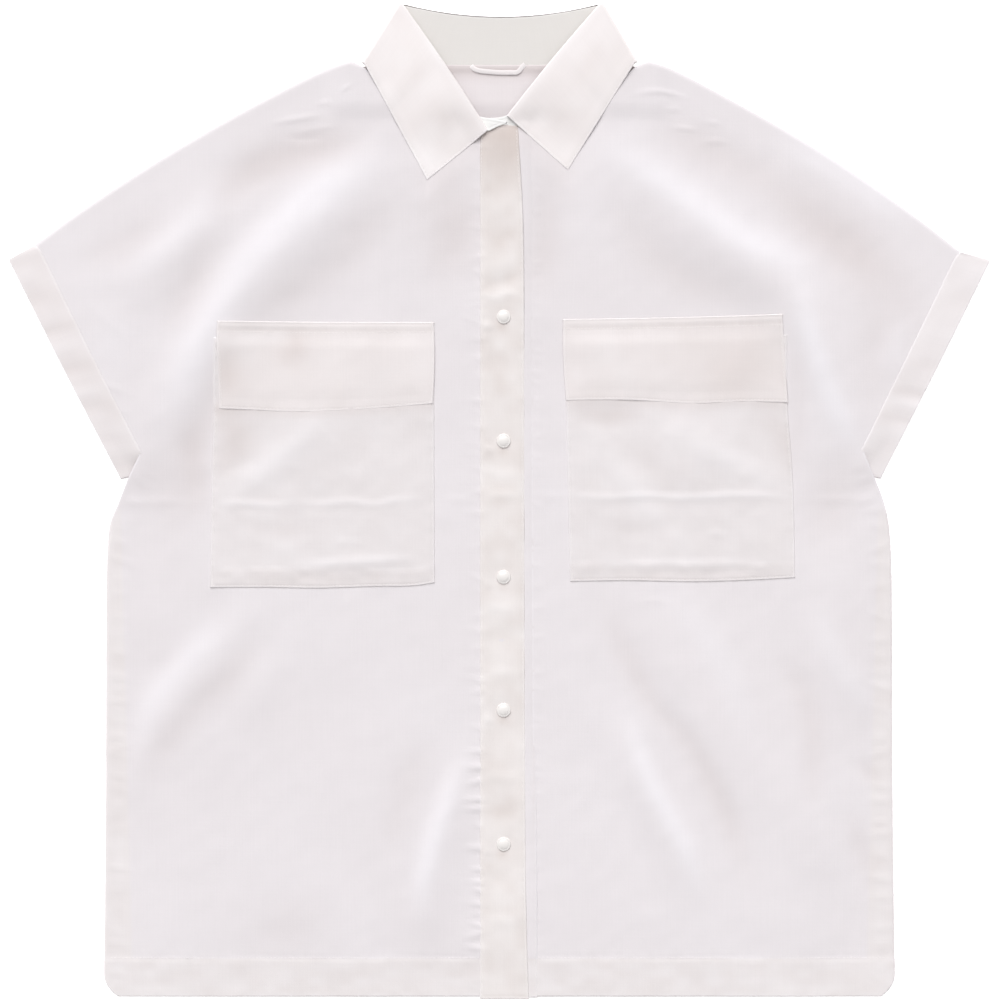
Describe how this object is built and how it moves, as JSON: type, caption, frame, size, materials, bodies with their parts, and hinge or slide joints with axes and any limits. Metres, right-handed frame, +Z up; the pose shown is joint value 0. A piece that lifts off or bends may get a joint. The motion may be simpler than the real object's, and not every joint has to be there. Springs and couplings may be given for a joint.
{
  "type": "blouse",
  "caption": "Loose short-sleeved blouse of thin white cotton, laid flat, with a shirt collar, a buttoned front band, two flapped chest pockets and turned-up cuffs.",
  "frame": {"origin": "bottom centre of the bounding box, on the surface that the blouse lies on, near the middle of the body", "axes": "+Z up from the surface, out of the front of the blouse; +Y from the hem to the collar; +X to the right in the front view, towards the wearer's left sleeve"},
  "size_m": [0.708, 0.7186, 0.0113],
  "materials": {
    "body_cloth": "single layer of fine plain-woven white cotton, slightly sheer, matt",
    "band_cloth": "two and more layers of the same white cotton, pressed, a little warmer in tone",
    "loop_tape": "narrow woven white tape",
    "button": "small domed milk-white button, softly glossy"
  },
  "bodies": {
    "root": {"back": "body_cloth", "front_left": "body_cloth", "front_right": "body_cloth", "under_placket": "band_cloth", "placket": "band_cloth", "pocket_left": "body_cloth", "pocket_right": "body_cloth", "flap_left": "band_cloth", "flap_right": "band_cloth", "cuff_left": "band_cloth", "cuff_right": "band_cloth", "collar_stand": "band_cloth", "collar_leaf": "band_cloth", "hanger_loop": "loop_tape", "button_1": "button", "button_2": "button", "button_3": "button", "button_4": "button", "button_5": "button"}
  },
  "joints": []
}
